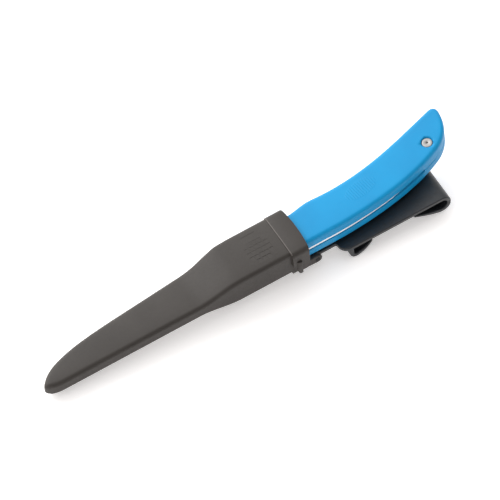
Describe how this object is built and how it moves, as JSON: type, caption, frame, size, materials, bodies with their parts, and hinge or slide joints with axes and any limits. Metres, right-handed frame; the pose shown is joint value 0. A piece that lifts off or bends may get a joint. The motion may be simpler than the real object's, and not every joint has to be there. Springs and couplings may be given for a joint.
{
  "type": "rigging knife",
  "caption": "Sheathed rigging knife with a curved grip, a folding marlinspike and a belt hanger hinged behind the sheath's mouth.",
  "frame": {"origin": "middle of the sheath's flat back face, behind the stretch of the handle that the sheath holds", "axes": "+X from the sheath's tip towards the handle's butt, +Y towards the blade's cutting side, +Z out of the sheath's front"},
  "size_m": [0.2395, 0.0397, 0.0285],
  "materials": {
    "sheath_plastic": "fine moulded texture, matte",
    "hanger_plastic": "smooth matte",
    "handle_plastic": "satin moulded",
    "blade_steel": "satin ground",
    "spring_steel": "blanked and tumbled",
    "rivet_steel": "polished heads",
    "pin_steel": "blackened",
    "washer_brass": "plain"
  },
  "bodies": {
    "sheath": {"sheath_body": "sheath_plastic", "hanger_pin": "pin_steel"},
    "hanger": {"belt_hanger": "hanger_plastic"},
    "knife": {"handle_shell_upper": "handle_plastic", "handle_shell_lower": "handle_plastic", "blade": "blade_steel", "backspring": "spring_steel", "pivot_barrel": "rivet_steel", "pivot_cap": "rivet_steel", "pivot_washer_upper": "washer_brass", "pivot_washer_lower": "washer_brass", "rivet_front_barrel": "rivet_steel", "rivet_front_cap": "rivet_steel", "rivet_rear_barrel": "rivet_steel", "rivet_rear_cap": "rivet_steel", "spring_pin_front": "rivet_steel", "spring_pin_rear": "rivet_steel"},
    "spike": {"marlinspike": "blade_steel"}
  },
  "joints": [
    {"name": "knife_slide", "type": "slide", "parent": "sheath", "child": "knife", "axis": [1, 0, 0], "range_m": [0, 0.13]},
    {"name": "spike_hinge", "type": "hinge", "parent": "knife", "child": "spike", "pos_m": [0.0997, 0.00765, 0.00865], "axis": [0, 0, -1], "range_deg": [0, 118]},
    {"name": "hanger_hinge", "type": "hinge", "parent": "sheath", "child": "hanger", "pos_m": [0.0256, -0.00225, -0.00125], "axis": [0, 1, 0], "range_deg": [0, 110]}
  ]
}
